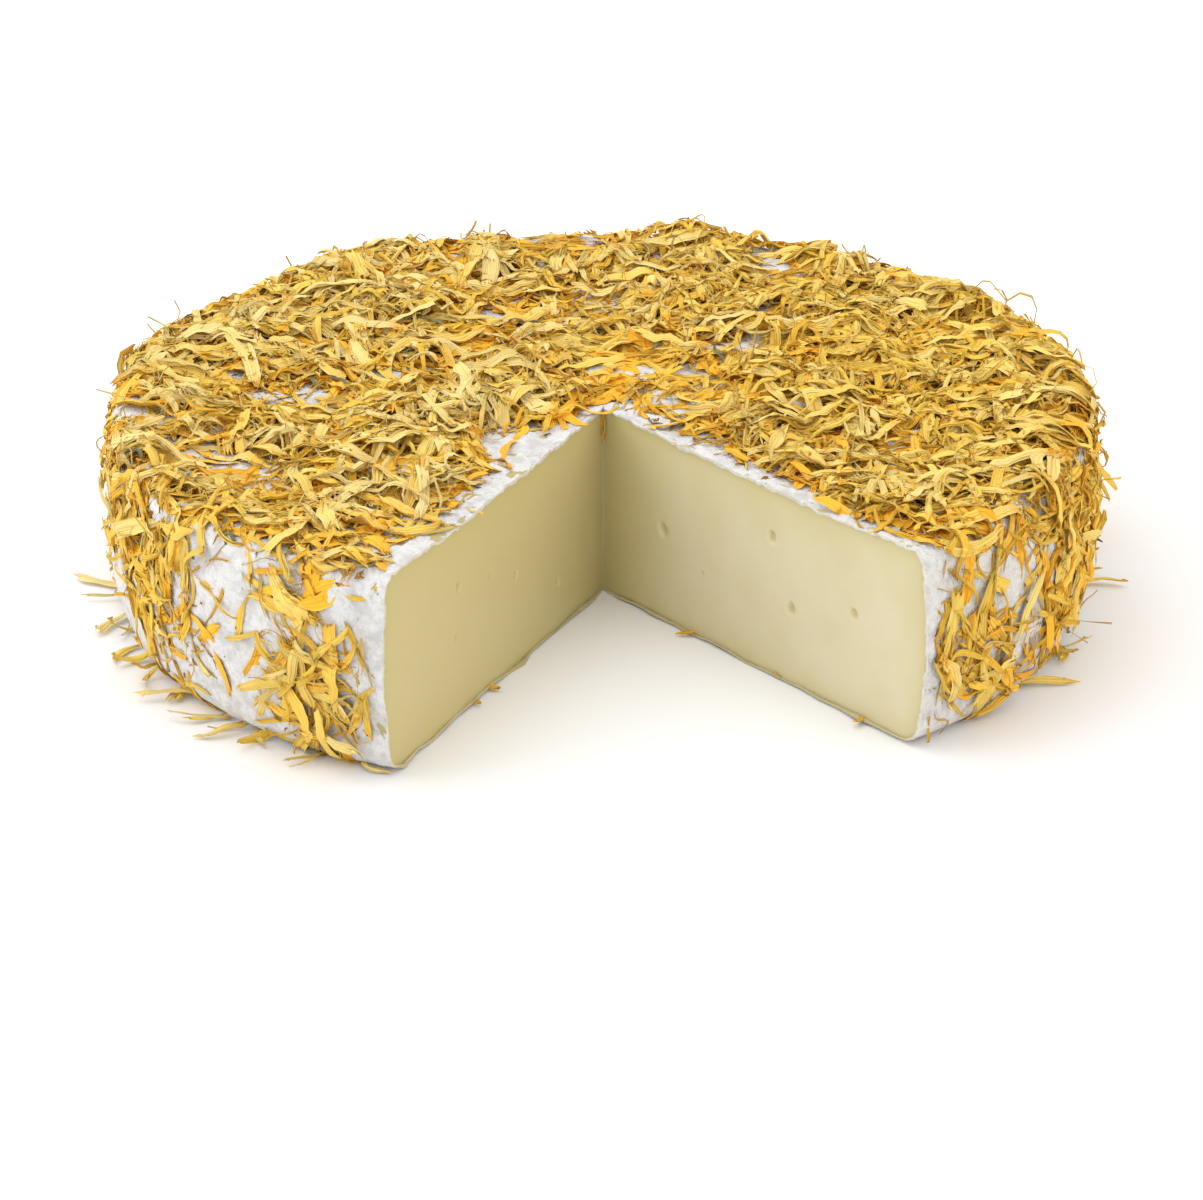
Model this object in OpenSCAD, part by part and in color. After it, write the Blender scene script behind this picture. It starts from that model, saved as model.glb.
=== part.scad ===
// A soft-ripened cheese wheel with one wedge cut out of it.
// The wheel stands on its flat base, with its axis on Z and the open wedge facing -Y.
// Its plan, its top and its side wander a little, as a hand-turned cheese does.

/* [Wheel] */
// Diameter of the wheel across its white rind
wheel_d = 240; // [160:1:360]
// Height of the wheel at its rim
wheel_h = 50; // [30:1:90]
// Radius of the rounded edge between the top and the side
shoulder_r = 5; // [2:0.5:10]
// Radius of the rounded edge between the side and the base
foot_r = 8; // [2:0.5:12]
// How far the side bows out between its two rounded edges
side_bow = 1.6; // [0:0.1:4]
// How far the middle of the top lies below its rim
top_dish = 1.4; // [0:0.1:4]
// Width of the band inside the rim over which the top sinks to its dish
dish_run = 26; // [10:1:50]

/* [Cut] */
// Angle of the wedge that is missing
cut_angle = 64; // [20:1:120]
// Direction of the middle of the missing wedge, seen from above
cut_turn = -83; // [-180:1:180]
// How far the two knife cuts meet from the axis, towards the missing wedge
cut_reach = 2.6; // [1:0.1:20]

/* [Unevenness] */
// How far the outline wanders in and out
outline_wander = 0.9; // [0:0.1:3]
// How far the top wanders up and down
top_wander = 0.45; // [0:0.05:1]

/* [Eyes] */
// Number of small gas holes cut open on each side of the missing wedge
eye_count = 5; // [0:1:14]
// Radius of the smallest eye
eye_r_min = 0.6; // [0.4:0.1:1.5]
// Radius of the largest eye
eye_r_max = 1.4; // [0.8:0.1:2.5]
// Clear paste left between the eyes and the rind
eye_margin = 9; // [5:1:14]
// Which scatter of eyes is used
eye_seed = 41; // [0:1:99]

/* [Hidden] */

sections = 90;     // vertical sections from one cut face round to the other
arc_steps = 5;     // facets on each rounded edge
bow_steps = 5;     // facets up the bowed side
dish_steps = 6;    // facets from the rim down into the dish
paste_colour = [0.94, 0.90, 0.72];

wheel_r = wheel_d / 2;
cut_point = cut_reach * [cos(cut_turn), sin(cut_turn)];
first_turn = cut_turn + cut_angle / 2;
swept_turn = 360 - cut_angle;

// The direction of section i, counted anticlockwise from the right-hand cut face.
function turn(i) = first_turn + swept_turn * i / sections;

// The outline's radius in direction a: a circle that wanders by a few slow waves.
function outline_r(a) = wheel_r - outline_wander
    + outline_wander * (0.5 * sin(2 * a + 40) + 0.3 * sin(3 * a - 75) + 0.2 * sin(7 * a + 10));

// The distance from the cut point to the outline in direction a, on a line that starts a little
// off the axis: the root of the circle's equation along that line.
function reach(a) =
    let(along = cut_point * [cos(a), sin(a)], r = outline_r(a))
    -along + sqrt(along * along - cut_point * cut_point + r * r);

// The height of the top in direction a, at a given depth inside the outline. It sinks smoothly
// from the rim into the dish, and wanders by slow waves that die out at the axis.
function top_h(a, depth) =
    let(t = min(1, max(0, depth - shoulder_r) / dish_run), fade = max(0, 1 - depth / wheel_r))
    wheel_h - top_wander - top_dish * t * t * (3 - 2 * t)
    + top_wander * fade * (0.6 * sin(3 * a + 20) + 0.4 * sin(5 * a - 50));

// The half section in direction a, from the base out, up and back in, as [depth, height] pairs.
function foot(a) = [for (k = [0:arc_steps])
    let(q = 90 * k / arc_steps) foot_r * [1 - sin(q), 1 - cos(q)]];
function side(a) = let(low = foot_r, high = top_h(a, 0) - shoulder_r) [for (k = [1:bow_steps - 1])
    let(t = k / bow_steps) [-side_bow * sin(180 * t), low + (high - low) * t]];
function shoulder(a) = [for (k = [0:arc_steps])
    let(q = 90 * k / arc_steps)
    [shoulder_r * (1 - cos(q)), top_h(a, 0) - shoulder_r * (1 - sin(q))]];
function dish(a) = [for (k = [1:dish_steps])
    let(depth = shoulder_r + dish_run * k / dish_steps) [depth, top_h(a, depth)]];
function half_section(a) = concat(foot(a), side(a), shoulder(a), dish(a));

// The bowed side stands proud of the two rounded edges, so the section is drawn in by the bow.
function on_wheel(a, p) = let(d = reach(a) - side_bow - p.x)
    [cut_point.x + d * cos(a), cut_point.y + d * sin(a), p.y];

rows = len(half_section(0));
skin = [for (i = [0:sections]) for (p = half_section(turn(i))) on_wheel(turn(i), p)];
heart_low = len(skin);
heart_high = heart_low + 1;
heart_h = top_h(0, wheel_r);
points = concat(skin, [[cut_point.x, cut_point.y, 0], [cut_point.x, cut_point.y, heart_h]]);

// Between two sections every row is a strip of two triangles. The base and the top close on the
// line where the two cuts meet, and the first and last sections are the cut faces.
function at(i, j) = i * rows + j;
wall_faces = [for (i = [0:sections - 1]) for (j = [0:rows - 2]) each [
    [at(i, j), at(i, j + 1), at(i + 1, j)],
    [at(i, j + 1), at(i + 1, j + 1), at(i + 1, j)]]];
base_faces = [for (i = [0:sections - 1]) [heart_low, at(i, 0), at(i + 1, 0)]];
top_faces = [for (i = [0:sections - 1]) [at(i, rows - 1), heart_high, at(i + 1, rows - 1)]];
cut_faces = [
    concat([heart_low, heart_high], [for (j = [rows - 1:-1:0]) at(0, j)]),
    concat([heart_high, heart_low], [for (j = [0:rows - 1]) at(sections, j)])];

// One uncut surface of paste and rind, without its eyes.
module uncut_wheel() {
    polyhedron(points, concat(wall_faces, base_faces, top_faces, cut_faces), convexity = 6);
}

// Small gas holes whose middles lie on one cut face, so that each is opened to a shallow cup.
// Each one's poles point straight out of and into the face, clear of the knife's plane.
module eyes(a, seed) {
    far = reach(a) - side_bow - foot_r - eye_margin;
    along = rands(eye_margin, far, eye_count, seed);
    up = rands(eye_margin, wheel_h - top_dish - eye_margin, eye_count, seed + 100);
    size = rands(eye_r_min, eye_r_max, eye_count, seed + 200);
    for (k = [0:1:eye_count - 1])
        translate([cut_point.x + along[k] * cos(a), cut_point.y + along[k] * sin(a), up[k]])
            rotate([90, 0, a]) sphere(r = size[k], $fn = 32);
}

module wheel() {
    color(paste_colour) difference() {
        uncut_wheel();
        eyes(turn(0), eye_seed);
        eyes(turn(sections), eye_seed + 1);
    }
}

wheel();
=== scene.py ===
"""Finishes a soft-ripened cheese wheel, coated with dried marigold petals, around its packed frame.

The wheel's solid is replaced by its paste and its rind, and the petals are laid over the rind one
after another, each resting on those below it. All lengths are in metres and all turns in radians.
"""

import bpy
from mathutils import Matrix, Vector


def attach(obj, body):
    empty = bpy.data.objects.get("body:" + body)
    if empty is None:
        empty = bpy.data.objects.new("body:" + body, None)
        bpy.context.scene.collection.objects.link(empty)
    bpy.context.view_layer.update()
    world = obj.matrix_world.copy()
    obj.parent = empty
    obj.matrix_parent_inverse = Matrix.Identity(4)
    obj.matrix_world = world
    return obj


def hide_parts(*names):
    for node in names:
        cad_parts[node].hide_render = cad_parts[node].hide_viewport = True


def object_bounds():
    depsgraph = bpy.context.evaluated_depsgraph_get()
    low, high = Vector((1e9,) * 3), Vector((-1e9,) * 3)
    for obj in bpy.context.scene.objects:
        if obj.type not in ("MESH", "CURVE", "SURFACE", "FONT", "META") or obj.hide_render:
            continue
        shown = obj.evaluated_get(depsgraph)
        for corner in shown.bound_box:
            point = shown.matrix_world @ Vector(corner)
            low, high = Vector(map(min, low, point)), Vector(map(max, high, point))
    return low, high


bl_info = {
    "name": "Marigold Cheese Wheel",
    "version": (1, 0, 0),
    "blender": (4, 5, 0),
    "location": "3D View > Sidebar > Cheese",
    "description": "A soft cheese wheel with one wedge cut out and a coat of dried petals",
    "category": "Object",
}

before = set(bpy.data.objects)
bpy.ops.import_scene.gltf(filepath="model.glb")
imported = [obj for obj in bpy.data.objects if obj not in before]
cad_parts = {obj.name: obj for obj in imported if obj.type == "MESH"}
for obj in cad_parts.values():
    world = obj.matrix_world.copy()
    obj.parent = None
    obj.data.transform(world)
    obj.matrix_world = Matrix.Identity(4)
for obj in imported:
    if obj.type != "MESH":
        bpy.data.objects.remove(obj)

import math

import bpy
import numpy as np
from mathutils import Vector

CAD_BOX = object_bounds()
NODE = "wheel"
BODY = "root"


# ---------------------------------------------------------------- settings

def length(name, description, default):
    """A size that a user may change."""
    return bpy.props.FloatProperty(
        name=name, description=description, default=default, precision=5,
        unit="LENGTH", subtype="DISTANCE")


def angle(name, description, degrees):
    """A turn that a user may change."""
    return bpy.props.FloatProperty(
        name=name, description=description, default=math.radians(degrees),
        unit="ROTATION", subtype="ANGLE")


def share(name, description, default):
    """A plain number that a user may change."""
    return bpy.props.FloatProperty(name=name, description=description, default=default)


def count(name, description, default):
    """A whole number that a user may change."""
    return bpy.props.IntProperty(name=name, description=description, default=default, min=0)


def colour(name, description, default):
    """A linear colour that a user may change."""
    return bpy.props.FloatVectorProperty(
        name=name, description=description, default=default, subtype="COLOR", size=3,
        min=0.0, max=1.0)


class CheeseForm(bpy.types.PropertyGroup):
    """The wheel's own sizes, the same as in its frame"""
    diameter: length("Diameter", "Across the white rind", 0.240)
    height: length("Height", "From the base to the rim", 0.050)
    shoulder: length("Shoulder", "Radius of the edge between top and side", 0.005)
    foot: length("Foot", "Radius of the edge between side and base", 0.008)
    bow: length("Bow", "How far the side stands out between its rounded edges", 0.0016)
    dish: length("Dish", "How far the middle of the top lies below the rim", 0.0014)
    dish_run: length("Dish Run", "Width over which the top sinks to its dish", 0.026)
    cut_angle: angle("Cut Angle", "Angle of the missing wedge", 64)
    cut_turn: angle("Cut Turn", "Direction of the middle of the missing wedge", -83)
    cut_reach: length("Cut Reach", "From the axis to the line where the two cuts meet", 0.0026)
    outline_wander: length("Outline Wander", "How far the plan wanders in and out", 0.0009)
    top_wander: length("Top Wander", "How far the top wanders up and down", 0.00045)


class CheeseRind(bpy.types.PropertyGroup):
    """The white rind"""
    thickness: length("Thickness", "From the skin to the paste", 0.0008)
    base_thickness: length("Base Thickness", "The same at the base, where it is pressed", 0.0006)
    relief: length("Relief", "Height of the rind's slow bumps", 0.00045)
    fluff: length("Fluff", "Height of its fine, fluffy bumps", 0.00030)
    lip: length("Lip", "How far the rind stands out of the cut faces", 0.00018)
    lift: length("Lift", "How far the knife pulled the base up along the cuts", 0.0009)
    bloom: colour("Bloom", "Its white mould", (0.745, 0.735, 0.72))
    shade: colour("Shade", "Its thinner, greyer patches", (0.53, 0.51, 0.50))
    stain: colour("Stain", "Its tan spots", (0.60, 0.46, 0.28))
    speck: colour("Speck", "Its small dark specks", (0.16, 0.13, 0.12))


class CheesePaste(bpy.types.PropertyGroup):
    """The paste inside"""
    inset: length("Inset", "From the skin to the paste's hidden surface", 0.0004)
    wave: length("Wave", "How far the cut faces wander from flat", 0.00014)
    body: colour("Body", "The paste", (0.64, 0.58, 0.395))
    # Besides the riper band under the rind, this colour is painted as shade over the left cut face
    # and near the heart.
    ripe: colour("Ripe", "The riper band under the rind and the riper heart", (0.50, 0.41, 0.155))
    eye: colour("Eye", "Inside the small eyes", (0.60, 0.49, 0.22))


class CheeseCoat(bpy.types.PropertyGroup):
    """How the petals lie on the rind"""
    seed: count("Seed", "Which scatter of petals is used", 7)
    batches: count("Batches", "In how many rounds the petals are laid", 30)
    cell: length("Cell", "Grain of the map of what is already laid", 0.0007)
    top_cap: length("Top Cap", "Highest that petals stand over the top", 0.0110)
    side_cap: length("Side Cap", "Furthest that petals stand out of the side", 0.0130)
    bare_strip: length("Bare Strip", "Width of bare rind along the cuts", 0.0024)
    side_share: share("Side Share", "Share of the petals that lie on the side", 0.31)
    mat_share: share("Mat Share", "The same for the flat petals under the others", 0.10)
    patch: length("Patch", "Size of the thick and thin patches", 0.017)
    clumped: share("Clumped", "Share of the petals still joined at their bases", 0.45)
    bow_kept: share("Bow Kept", "How much of its bow a petal keeps under others", 0.25)
    curl_kept: share("Curl Kept", "How much of its curl a petal keeps under others", 0.85)
    draped: share("Draped", "Share that stays of the petals laid over the shoulder", 0.3)
    lift_share: share("Lifted", "Share of the petals whose tips stand up", 0.16)
    in_corner: count("In Corner", "Shreds pressed into the corner of the cuts", 16)
    at_foot: count("At Foot", "Petals of each leafy kind tucked under the foot", 34)
    at_cuts: count("At Cuts", "Scraps caught under the cut faces", 7)


class CheeseStage(bpy.types.PropertyGroup):
    """The camera, the lights and the floor"""
    camera_away: length("Camera Distance", "From the wheel to the camera", 1.218)
    camera_tilt: angle("Camera Tilt", "How far the camera looks down", 24.44)
    aim_back: length("Aim", "How far before the axis the camera aims", 0.0084)
    lens: share("Lens", "Focal length in millimetres", 149.6)
    floor: colour("Floor", "The floor", (0.86, 0.86, 0.865))


def petal_settings(label, **defaults):
    """A PropertyGroup class for one kind of petal, whose defaults differ from kind to kind."""
    sizes = {
        "number": count("Number", "How many are laid", defaults["number"]),
        "across": count("Across", "Faces from edge to edge", defaults["across"]),
        "along": count("Along", "Points from base to tip", defaults["along"]),
        "long_low": length("Shortest", "Length of the shortest", defaults["long"][0]),
        "long_high": length("Longest", "Length of the longest", defaults["long"][1]),
        "wide_low": length("Narrowest", "Width of the narrowest", defaults["wide"][0]),
        "wide_high": length("Widest", "Width of the widest", defaults["wide"][1]),
        "curl": share("Curl", "How far its edges roll up or down, in radians", defaults["curl"]),
        "pleat": share("Pleat", "Depth of its pleats, as a share of width", defaults["pleat"]),
        "arch": share("Arch", "How far it bows, as a share of length", defaults["arch"]),
        "twist": share("Twist", "How far it turns about its length", defaults["twist"]),
        "tooth": length("Tooth", "Depth of the teeth at its tip", defaults["tooth"]),
        "thick": length("Thickness", "From face to face", defaults["thick"]),
        "pale": colour("Pale", "Along its veins and edges", defaults["pale"]),
        "deep": colour("Deep", "Between its veins", defaults["deep"]),
        "burnt": colour("Burnt", "At its base and torn ends", defaults["burnt"]),
    }
    return type("Cheese" + label.title().replace("_", ""), (bpy.types.PropertyGroup,),
                {"__doc__": "Dried " + label.replace("_", " "), "__annotations__": sizes})


STRAW = (0.89, 0.72, 0.30)
LEMON = (0.91, 0.65, 0.12)
GOLD = (0.93, 0.58, 0.06)
AMBER = (0.91, 0.46, 0.03)
RUST = (0.76, 0.32, 0.018)
BARK = (0.16, 0.085, 0.035)
KIND_KEYS = ("number", "across", "along", "long", "wide",
             "curl", "pleat", "arch", "twist", "tooth", "thick", "pale", "deep", "burnt")
PETAL_TABLE = {
    "petal_mat": (
        2500, 2, 6, (0.008, 0.017), (0.0020, 0.0036),
        0.5, 0.10, 0.03, 0.4, 0.0008, 0.00012, GOLD, AMBER, AMBER),
    "petals_broad": (
        720, 6, 11, (0.013, 0.023), (0.0024, 0.0044),
        0.8, 0.15, 0.10, 0.6, 0.0016, 0.00013, STRAW, LEMON, AMBER),
    "petals_lemon": (
        1280, 4, 10, (0.010, 0.020), (0.0012, 0.0030),
        1.0, 0.20, 0.11, 1.0, 0.0014, 0.00012, STRAW, LEMON, AMBER),
    "petals_gold": (
        1280, 4, 10, (0.009, 0.019), (0.0011, 0.0028),
        1.1, 0.22, 0.12, 1.1, 0.0014, 0.00012, LEMON, GOLD, RUST),
    "petals_rolled": (
        1400, 3, 10, (0.009, 0.020), (0.0007, 0.0017),
        1.8, 0.12, 0.15, 1.5, 0.0006, 0.00012, LEMON, GOLD, RUST),
    "petal_shreds": (
        2500, 2, 8, (0.005, 0.015), (0.0003, 0.0009),
        1.0, 0.10, 0.24, 1.5, 0.0003, 0.00010, STRAW, GOLD, RUST),
    "petal_crumbs": (
        1800, 2, 4, (0.0008, 0.0030), (0.0004, 0.0013),
        0.9, 0.20, 0.15, 1.0, 0.0003, 0.00012, GOLD, RUST, BARK),
}
GREEN_TABLE = {
    "sepals": (
        70, 4, 9, (0.005, 0.012), (0.0009, 0.0017),
        1.0, 0.05, 0.06, 0.4, 0.0, 0.00025, (0.46, 0.46, 0.27), (0.20, 0.21, 0.10), BARK),
    "florets": (
        140, 2, 5, (0.0022, 0.0042), (0.0005, 0.0009),
        0.8, 0.0, 0.0, 0.3, 0.0, 0.00020, (0.42, 0.26, 0.12), (0.20, 0.11, 0.05), BARK),
}
PALE_KINDS = ("petals_broad", "petals_lemon", "petal_shreds")
PETAL_KINDS, GREEN_KINDS = (
    {name: petal_settings(name, **dict(zip(KIND_KEYS, row))) for name, row in table.items()}
    for table in (PETAL_TABLE, GREEN_TABLE))
ALL_KINDS = {**PETAL_KINDS, **GREEN_KINDS}


def settings(name):
    """One of the scene's groups of settings."""
    return getattr(bpy.context.scene, "cheese_" + name)


# ---------------------------------------------------------------- the wheel's form

# Each slow wave: its share, how often it goes round the wheel, and where it starts, in degrees.
OUTLINE_WAVES = ((0.5, 2, 40), (0.3, 3, -75), (0.2, 7, 10))
TOP_WAVES = ((0.6, 3, 20), (0.4, 5, -50))


def waves(turn, table):
    """A sum of sines round the wheel."""
    return sum(part * np.sin(often * turn + math.radians(start)) for part, often, start in table)


def smooth(low, high, x):
    """A step from 0 at low to 1 at high whose slope is 0 at both: t squared times 3 less 2 t."""
    t = np.clip((x - low) / (high - low), 0, 1)
    return t * t * (3 - 2 * t)


def cut_point():
    """Where the two cuts meet, in plan."""
    f = settings("form")
    return f.cut_reach * np.array([math.cos(f.cut_turn), math.sin(f.cut_turn)])


def cut_turns():
    """Directions of the right-hand and the left-hand cut face, anticlockwise round the wheel."""
    f = settings("form")
    right = f.cut_turn + f.cut_angle / 2
    return right, right + 2 * math.pi - f.cut_angle


def reach(turn):
    """From the cut point to the outline in a direction: the root of the circle's equation along
    that line, for a circle whose radius wanders by a few slow waves."""
    f = settings("form")
    radius = f.diameter / 2 - f.outline_wander + f.outline_wander * waves(turn, OUTLINE_WAVES)
    x, y = cut_point()
    along = x * np.cos(turn) + y * np.sin(turn)
    return np.sqrt(along * along - x * x - y * y + radius * radius) - along


def top_height(turn, depth):
    """Height of the top at a depth inside the outline: it sinks by a smooth step from the rim to
    the dish, and wanders by slow waves that die out at the axis."""
    f = settings("form")
    sunk = f.dish * smooth(f.shoulder, f.shoulder + f.dish_run, depth)
    fade = np.maximum(0, 1 - depth / (f.diameter / 2))
    return f.height - f.top_wander - sunk + f.top_wander * fade * waves(turn, TOP_WAVES)


def rim_height(turn):
    """Height of the top where it meets the outline."""
    return top_height(turn, np.zeros_like(turn))


def from_cut_point(turn, away, height):
    """Points at a direction and a distance from the cut point in plan, and at a height."""
    x, y = cut_point()
    return np.stack(np.broadcast_arrays(
        x + away * np.cos(turn), y + away * np.sin(turn), height), axis=-1)


def place(turn, depth, height):
    """Points at a depth inside the outline, in a direction from the cut point. The side stands
    proud of its two rounded edges by the bow, so all of them are drawn in by the bow."""
    return from_cut_point(turn, reach(turn) - settings("form").bow - depth, height)


def section(turn, inset, steps):
    """Depth and height round the half section in each direction, inset from the skin by a few
    tenths: along the base, up the foot's quarter circle, up the side, which bows by half a sine
    wave, over the shoulder's quarter circle, and back in along the top. steps are the points on
    the base, foot, side, shoulder and top. The rows are points and the columns directions."""
    f = settings("form")
    turn = np.asarray(turn)[None, :]
    heart = reach(turn) - f.bow
    base, foot, side, shoulder, top = [np.linspace(0, 1, n + 1)[1:, None] for n in steps]
    base = np.concatenate([[[0.0]], base])
    rim = rim_height(turn)
    quarter = math.pi / 2
    foot_r, shoulder_r = f.foot - inset, f.shoulder - inset
    low, high = f.foot, rim - f.shoulder
    depth = [
        heart + (f.foot - heart) * base,
        f.foot - foot_r * np.sin(quarter * foot) + 0 * turn,
        inset - f.bow * np.sin(math.pi * side) + 0 * turn,
        f.shoulder - shoulder_r * np.cos(quarter * shoulder) + 0 * turn,
        f.shoulder + (heart - f.shoulder) * top]
    height = [
        inset + 0 * base + 0 * turn,
        f.foot - foot_r * np.cos(quarter * foot) + 0 * turn,
        low + (high - low) * side,
        rim - f.shoulder + shoulder_r * np.sin(quarter * shoulder),
        top_height(turn, depth[-1]) - inset]
    return np.concatenate(depth), np.concatenate(height)


def skin_distance(points):
    """How far points lie outside the skin of the whole, uncut wheel: in the half section, the
    distance to a rounded corner, whose straight sides are the flank with its bow, the top with
    its dish, and the base."""
    f = settings("form")
    out = points[..., :2] - cut_point()
    turn = np.arctan2(out[..., 1], out[..., 0])
    depth = reach(turn) - f.bow - np.hypot(out[..., 0], out[..., 1])
    top = top_height(turn, np.maximum(depth, 0))
    z = points[..., 2]
    rise = np.clip((z - f.foot) / (top - f.shoulder - f.foot), 0, 1)
    past_side = -depth - f.bow * np.sin(math.pi * rise)
    upper = z > f.height / 2
    corner = np.where(upper, f.shoulder, f.foot)
    past_end = np.where(upper, z - top, -z)
    a, b = past_side + corner, past_end + corner
    return np.hypot(np.maximum(a, 0), np.maximum(b, 0)) + np.minimum(np.maximum(a, b), 0) - corner


def skin_normal(points):
    """The skin's outward direction: the slope of skin_distance, by central differences."""
    step = 2e-4
    slope = np.stack([
        skin_distance(points + step * axis) - skin_distance(points - step * axis)
        for axis in np.eye(3)], axis=-1)
    return slope / np.linalg.norm(slope, axis=-1, keepdims=True)


def past_cut(points):
    """How far points lie inside the missing wedge, from the nearer cut face. It is below 0 where
    there is cheese."""
    right, left = cut_turns()
    x, y = (points[..., :2] - cut_point()).T
    from_right = math.sin(right) * x - math.cos(right) * y
    from_left = math.cos(left) * y - math.sin(left) * x
    return np.minimum(from_right, from_left).T


# ---------------------------------------------------------------- noise

PRIMES = np.array([73856093, 19349663, 83492791], np.int64)
SEED_FACTOR, FIRST_FACTOR, SECOND_FACTOR = 2654435761, 2246822519, 3266489917
BITS = 0xFFFFFFFF


def hashed(cells, seed):
    """A repeatable number from 0 to 1 for whole-numbered cells: their coordinates times large
    primes, mixed by shifts and products."""
    n = (cells * PRIMES).astype(np.int64)
    n = (n[..., 0] ^ n[..., 1] ^ n[..., 2] ^ (seed * SEED_FACTOR)) & BITS
    n = ((n ^ (n >> 15)) * FIRST_FACTOR) & BITS
    n = ((n ^ (n >> 13)) * SECOND_FACTOR) & BITS
    return ((n ^ (n >> 16)) & BITS) / BITS


def noise(points, size, seed):
    """Smooth noise from -1 to 1 with features of a size: each cell's eight corners have repeatable
    numbers, blended by smooth steps."""
    at = points / size
    cell = np.floor(at).astype(np.int64)
    t = at - cell
    t = t * t * (3 - 2 * t)
    total = 0
    for corner in np.ndindex(2, 2, 2):
        weight = np.prod(np.where(corner, t, 1 - t), axis=-1)
        total = total + weight * hashed(cell + np.array(corner), seed)
    return 2 * total - 1


def layers(points, table):
    """A sum of noises, each given as its share, its size and its seed."""
    return sum(part * noise(points, size, seed) for part, size, seed in table)


# ---------------------------------------------------------------- meshes and materials

def grid_quads(index):
    """The quads of a grid of vertex numbers, as rows of four."""
    return np.stack([index[:-1, :-1], index[1:, :-1], index[1:, 1:], index[:-1, 1:]],
                    axis=-1).reshape(-1, 4)


def make_mesh(name, points, quads, triangles=()):
    """A mesh from whole arrays of points, quads and triangles."""
    triangles = np.asarray(triangles, int).reshape(-1, 3)
    corners = np.concatenate([np.ravel(quads), np.ravel(triangles)]).astype(np.int32)
    sizes = np.concatenate([np.full(len(quads), 4), np.full(len(triangles), 3)])
    mesh = bpy.data.meshes.new(name)
    mesh.vertices.add(len(points))
    mesh.vertices.foreach_set("co", np.ascontiguousarray(points, np.float32).ravel())
    mesh.loops.add(len(corners))
    mesh.loops.foreach_set("vertex_index", corners)
    mesh.polygons.add(len(sizes))
    mesh.polygons.foreach_set("loop_start", (np.cumsum(sizes) - sizes).astype(np.int32))
    mesh.polygons.foreach_set("use_smooth", np.ones(len(sizes), bool))
    mesh.update(calc_edges=True)
    return mesh


def vertex_colour(mesh, name, values):
    """A colour attribute with one value of four numbers for each vertex."""
    layer = mesh.attributes.new(name, "FLOAT_COLOR", "POINT")
    layer.data.foreach_set("color", np.ascontiguousarray(values, np.float32).ravel())


def edge_ends(mesh):
    """The two vertex numbers of every edge."""
    ends = np.empty(len(mesh.edges) * 2, np.int32)
    mesh.edges.foreach_get("vertices", ends)
    return ends.reshape(-1, 2)


def sharpen(mesh, chosen):
    """Breaks the shading along the chosen edges."""
    mesh.attributes.new("sharp_edge", "BOOLEAN", "EDGE").data.foreach_set("value", chosen)


def add_object(name, data):
    """An object for a mesh, a light or a camera, on the scene."""
    thing = bpy.data.objects.new(name, data)
    bpy.context.scene.collection.objects.link(thing)
    return thing


def add_piece(name, mesh, material):
    """A finished piece that rides with the wheel."""
    mesh.materials.append(material)
    piece = add_object(name, mesh)
    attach(piece, BODY)
    return piece


class Wiring:
    """A short way to write a node tree."""

    def __init__(self, tree):
        """Takes the tree that the nodes go into."""
        self.tree = tree

    def node(self, kind, _settings=None, **inputs):
        """A node with its settings and its inputs, which are numbers, colours or outputs."""
        made = self.tree.nodes.new("ShaderNode" + kind)
        for key, value in (_settings or {}).items():
            setattr(made, key, value)
        for key, value in inputs.items():
            self.feed(made, key.replace("_", " "), value)
        return made

    def feed(self, node, key, value):
        """Links an output to a node's input, or sets the input to a number or a colour."""
        socket = node.inputs[int(key)] if key.isdigit() else node.inputs[key]
        if isinstance(value, bpy.types.NodeSocket):
            self.tree.links.new(value, socket)
        elif hasattr(value, "__len__") and len(value) == 3 and socket.type == "RGBA":
            socket.default_value = (*value, 1.0)
        else:
            socket.default_value = value

    def maths(self, operation, a, b=0.0, c=0.0, clamp=False):
        """One sum on up to three values."""
        made = self.tree.nodes.new("ShaderNodeMath")
        made.operation, made.use_clamp = operation, clamp
        for i, value in enumerate((a, b, c)):
            self.feed(made, str(i), value)
        return made.outputs[0]

    def mix(self, factor, a, b):
        """A blend of two colours: the first where the factor is 0, and the second where it is 1."""
        made = self.tree.nodes.new("ShaderNodeMix")
        made.data_type, made.blend_type, made.clamp_factor = "RGBA", "MIX", True
        for i, value in ((0, factor), (6, a), (7, b)):
            self.feed(made, str(i), value)
        return made.outputs[2]

    def step(self, value, low, high, to_low=0.0, to_high=1.0):
        """A smooth step of a value, which runs backwards where low is above high."""
        if low > high:
            low, high, to_low, to_high = high, low, to_high, to_low
        made = self.node("MapRange", {"interpolation_type": "SMOOTHSTEP"}, Value=value)
        for key, number in (("From Min", low), ("From Max", high),
                            ("To Min", to_low), ("To Max", to_high)):
            made.inputs[key].default_value = number
        return made.outputs["Result"]

    def noise(self, where, scale, detail=2.0, roughness=0.5):
        """Noise from 0 to 1 with so many features to the metre."""
        made = self.node("TexNoise", Vector=where, Scale=scale, Detail=detail,
                         Roughness=roughness)
        return made.outputs[0]

    def bump(self, shader, strength, distance, height):
        """Gives a shader a fine relief: a height from 0 to 1 that stands for a distance."""
        made = self.node("Bump", Strength=strength, Distance=distance, Height=height)
        self.feed(shader, "Normal", made.outputs[0])


def new_material(name, **inputs):
    """A material with one Principled shader and its inputs, and the wiring to write the rest."""
    material = bpy.data.materials.new(name)
    material.use_nodes = True
    tree = material.node_tree
    tree.nodes.clear()
    wiring = Wiring(tree)
    shader = wiring.node("BsdfPrincipled", **inputs)
    output = wiring.node("OutputMaterial")
    tree.links.new(shader.outputs[0], output.inputs["Surface"])
    return material, wiring, shader


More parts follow.
